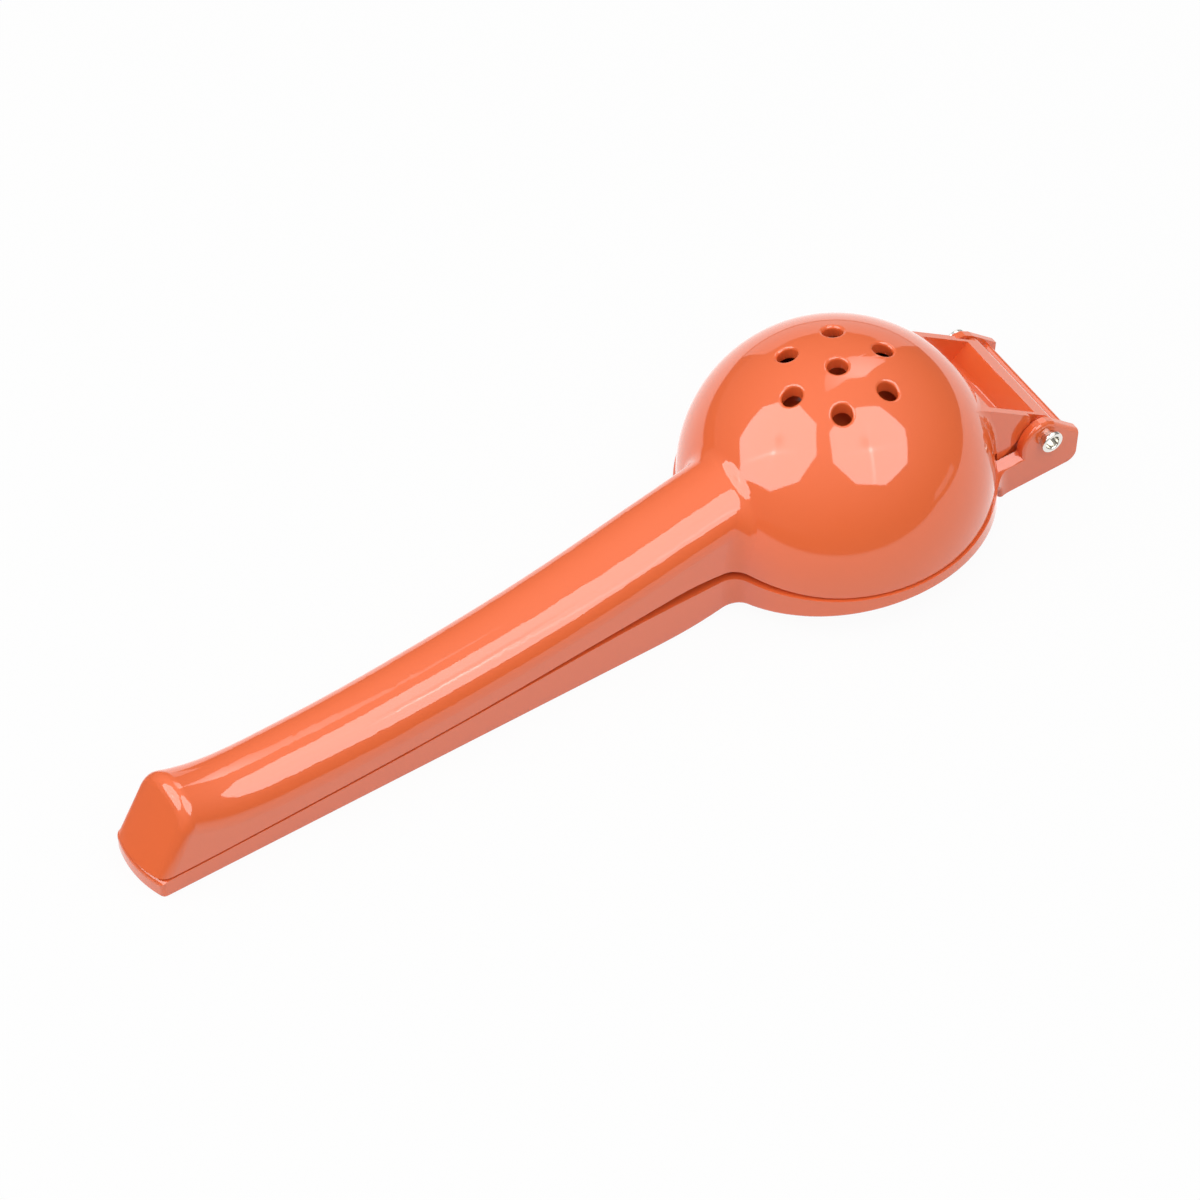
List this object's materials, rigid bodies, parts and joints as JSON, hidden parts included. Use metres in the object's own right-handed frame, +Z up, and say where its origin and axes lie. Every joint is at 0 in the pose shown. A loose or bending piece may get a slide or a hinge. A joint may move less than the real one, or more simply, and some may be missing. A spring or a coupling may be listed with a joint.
{
  "type": "hinged lemon squeezer",
  "caption": "Hand-held hinged citrus squeezer: a perforated bowl arm closes over a domed plunger arm, turning on a hollow rivet.",
  "frame": {"origin": "centre of the underside that the closed squeezer rests on", "axes": "+Z up, bowl up; +X from the handles' tail towards the hinge; the squeezer is symmetric across y = 0"},
  "size_m": [0.2302, 0.069, 0.0466],
  "materials": {
    "orange_enamel": "gloss",
    "rivet_nickel": "bright"
  },
  "bodies": {
    "plunger_body": {"plunger_arm": "orange_enamel", "hinge_rivet": "rivet_nickel"},
    "bowl_body": {"bowl_arm": "orange_enamel"}
  },
  "joints": [
    {"name": "arm_hinge", "type": "hinge", "parent": "plunger_body", "child": "bowl_body", "pos_m": [0.10698, 0, 0.011], "axis": [0, 1, 0], "range_deg": [0, 105]}
  ]
}
